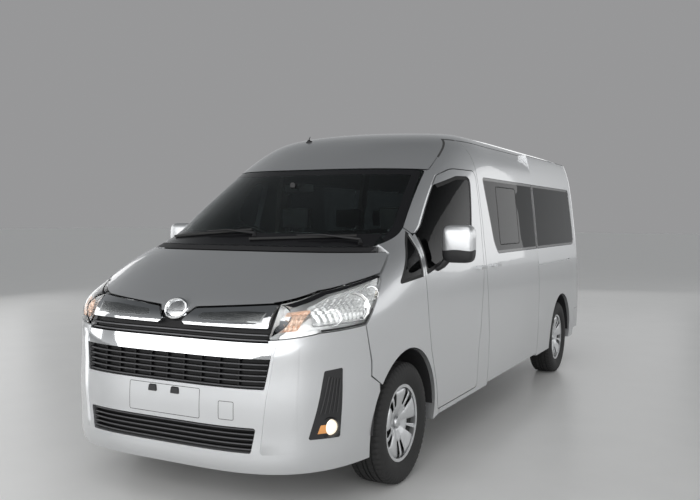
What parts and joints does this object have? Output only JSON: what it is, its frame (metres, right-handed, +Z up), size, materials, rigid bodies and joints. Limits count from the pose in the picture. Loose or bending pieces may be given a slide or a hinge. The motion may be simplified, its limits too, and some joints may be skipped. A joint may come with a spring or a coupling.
{
  "type": "passenger van",
  "caption": "Long-wheelbase high-roof passenger van with sliding side doors, hinged front doors, hood and tailgate, and rows of seats.",
  "frame": {"origin": "on the ground under the middle of the van", "axes": "+Z up, front towards -Y, +X is the left side of the vehicle"},
  "size_m": [2.39, 5.9171, 2.2801],
  "materials": {
    "body_paint": "metallic silver",
    "clear_glass": "clear, faintly tinted",
    "dark_glass": "dark privacy tint",
    "lamp_lens": "clear lens over bright reflectors",
    "red_lens": "red lens",
    "black_trim": "grained black",
    "bright_trim": "bright",
    "dark_metal": "black chassis paint",
    "engine_metal": "as cast",
    "cabin_trim": "grained grey",
    "seat_cloth": "woven grey cloth",
    "wheel_metal": "silver painted",
    "tyre": "black rubber"
  },
  "bodies": {
    "van": {"bulkhead": "dark_metal", "dashboard": "cabin_trim", "engine": "engine_metal", "fenders": "body_paint", "floor": "dark_metal", "fog_bezels": "black_trim", "frame_rails": "dark_metal", "front_bumper": "body_paint", "front_seats": "seat_cloth", "front_suspension": "dark_metal", "fuel_tank": "dark_metal", "gearbox": "engine_metal", "grille_bar": "bright_trim", "grille_panels": "bright_trim", "grilles": "black_trim", "headlamps": "lamp_lens", "leaf_springs": "dark_metal", "mud_flaps": "black_trim", "rear_axle": "dark_metal", "rear_bumper": "body_paint", "rear_quarters": "body_paint", "rear_seats": "seat_cloth", "roof": "body_paint", "roof_hoops": "cabin_trim", "seat_frames": "dark_metal", "side_frames": "body_paint", "side_glass": "dark_glass", "sliding_doors": "body_paint", "tail_lamps": "red_lens", "wheel_wells": "black_trim", "windscreen": "clear_glass"},
    "front_door_left": {"front_door_left": "body_paint", "door_glass_left": "dark_glass", "mirror_left": "black_trim"},
    "steering_left": {"knuckle_left": "dark_metal"},
    "front_door_right": {"front_door_right": "body_paint", "door_glass_right": "dark_glass", "mirror_right": "black_trim"},
    "steering_right": {"knuckle_right": "dark_metal"},
    "hood": {"hood": "body_paint"},
    "tailgate": {"tailgate": "body_paint", "rear_glass": "dark_glass"},
    "steering_wheel": {"steering_wheel": "black_trim"},
    "wheel_front_left": {"tyre_front_left": "tyre", "rim_front_left": "wheel_metal"},
    "wheel_front_right": {"tyre_front_right": "tyre", "rim_front_right": "wheel_metal"},
    "wheel_rear_left": {"tyre_rear_left": "tyre", "rim_rear_left": "wheel_metal"},
    "wheel_rear_right": {"tyre_rear_right": "tyre", "rim_rear_right": "wheel_metal"}
  },
  "joints": [
    {"name": "front_door_left_hinge", "type": "hinge", "parent": "van", "child": "front_door_left", "pos_m": [0.955, -1.7625, 0.9375], "axis": [0, 0, -1], "range_deg": [0, 65]},
    {"name": "front_door_right_hinge", "type": "hinge", "parent": "van", "child": "front_door_right", "pos_m": [-0.955, -1.7625, 0.9375], "axis": [0, 0, 1], "range_deg": [0, 65]},
    {"name": "steer_left", "type": "hinge", "parent": "van", "child": "steering_left", "pos_m": [0.7775, -1.9575, 0.354], "axis": [0, 0, 1], "range_deg": [-32, 32]},
    {"name": "wheel_front_left_spin", "type": "hinge", "parent": "steering_left", "child": "wheel_front_left", "pos_m": [0.8375, -1.9575, 0.354], "axis": [1, 0, 0], "continuous": true},
    {"name": "wheel_rear_left_spin", "type": "hinge", "parent": "van", "child": "wheel_rear_left", "pos_m": [0.835, 1.9025, 0.354], "axis": [1, 0, 0], "continuous": true},
    {"name": "steer_right", "type": "hinge", "parent": "van", "child": "steering_right", "pos_m": [-0.7775, -1.9575, 0.354], "axis": [0, 0, 1], "range_deg": [-32, 32]},
    {"name": "wheel_front_right_spin", "type": "hinge", "parent": "steering_right", "child": "wheel_front_right", "pos_m": [-0.8375, -1.9575, 0.354], "axis": [1, 0, 0], "continuous": true},
    {"name": "wheel_rear_right_spin", "type": "hinge", "parent": "van", "child": "wheel_rear_right", "pos_m": [-0.835, 1.9025, 0.354], "axis": [1, 0, 0], "continuous": true},
    {"name": "steering_wheel_turn", "type": "hinge", "parent": "van", "child": "steering_wheel", "pos_m": [-0.4, -1.5375, 1.35], "axis": [0, 0.7659, 0.6429], "range_deg": [-490, 490]},
    {"name": "hood_hinge", "type": "hinge", "parent": "van", "child": "hood", "pos_m": [0, -2.0075, 1.34], "axis": [-1, 0, 0], "range_deg": [0, 55]},
    {"name": "tailgate_hinge", "type": "hinge", "parent": "van", "child": "tailgate", "pos_m": [0, 2.7715, 2.127], "axis": [1, 0, 0], "range_deg": [0, 85]}
  ],
  "couplings": [
    {"joint": "steer_right", "follows": "steer_left", "ratio": 1},
    {"joint": "steering_wheel_turn", "follows": "steer_left", "ratio": 15}
  ]
}
